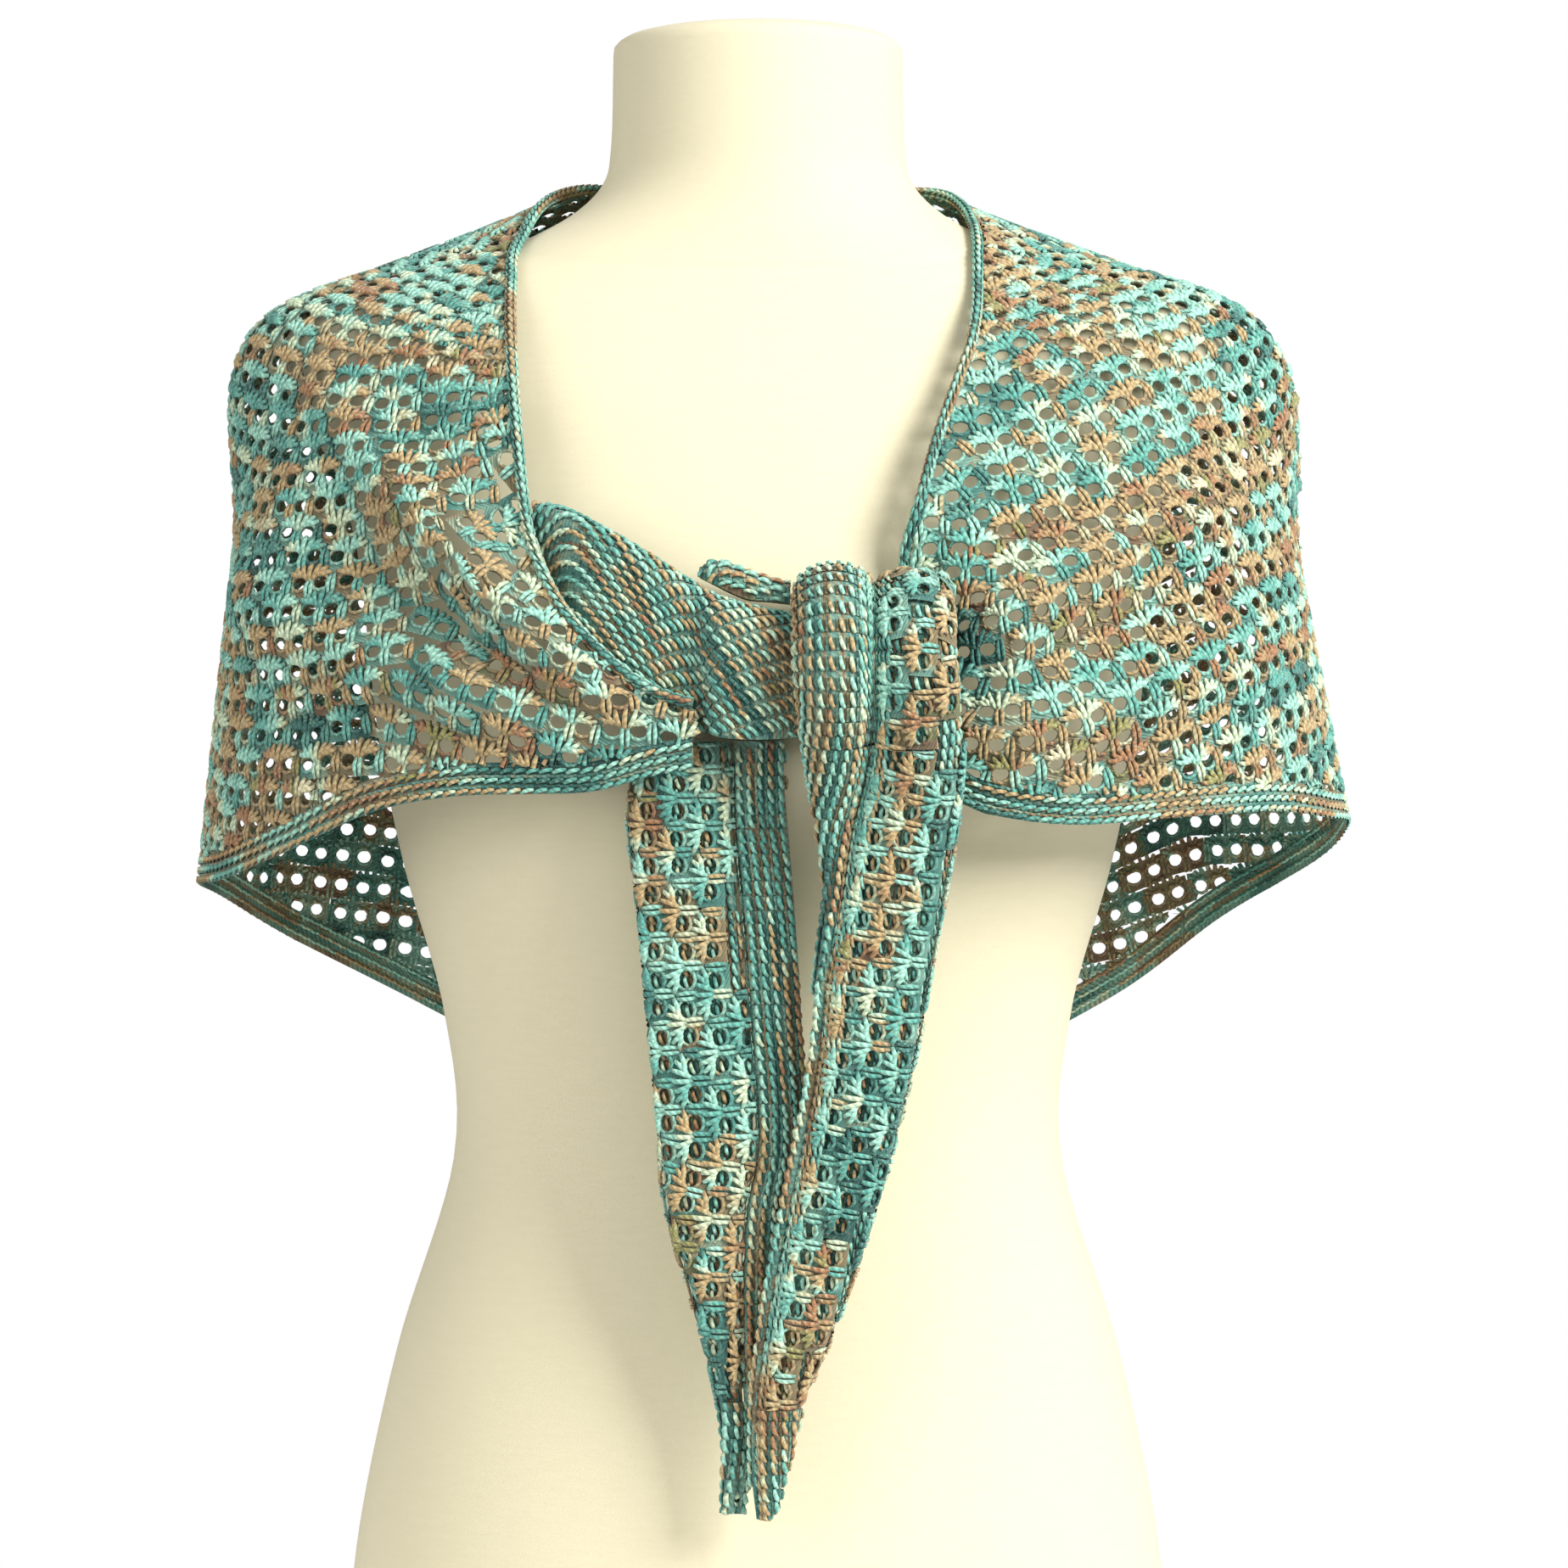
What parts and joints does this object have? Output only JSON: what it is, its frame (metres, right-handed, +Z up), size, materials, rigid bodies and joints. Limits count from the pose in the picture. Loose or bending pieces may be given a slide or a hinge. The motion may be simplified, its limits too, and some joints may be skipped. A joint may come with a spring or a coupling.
{
  "type": "knitted shawl on a dress form",
  "caption": "Openwork knitted shawl with a ribbed border, worn over the shoulders of a limbless dress form and tied in front, its two ends hanging.",
  "frame": {"origin": "centre of the form's flat base", "axes": "+Z up, -Y towards the front where the knot is, +X to the right as seen from the front"},
  "size_m": [0.4891, 0.3265, 0.75],
  "materials": {
    "form_cloth": "matte cream cotton cover, stretched smooth",
    "lace_knit": "matte plied yarn in teal, mint, cream, tan and rust, knitted open",
    "garter_knit": "the same yarn knitted close, in ridges"
  },
  "bodies": {
    "root": {"dress_form": "form_cloth", "lace_left_front": "lace_knit", "lace_left_shoulder": "lace_knit", "lace_back": "lace_knit", "lace_right_shoulder": "lace_knit", "lace_right_front": "lace_knit", "border_left_front": "garter_knit", "border_left_shoulder": "garter_knit", "border_back": "garter_knit", "border_right_shoulder": "garter_knit", "border_right_front": "garter_knit", "neck_edge_left_front": "garter_knit", "neck_edge_left_shoulder": "garter_knit", "neck_edge_back": "garter_knit", "neck_edge_right_shoulder": "garter_knit", "neck_edge_right_front": "garter_knit", "knot_roll": "lace_knit", "knot_loop": "lace_knit", "knot_wrap": "lace_knit", "tail_right": "lace_knit", "tail_left": "lace_knit"}
  },
  "joints": []
}
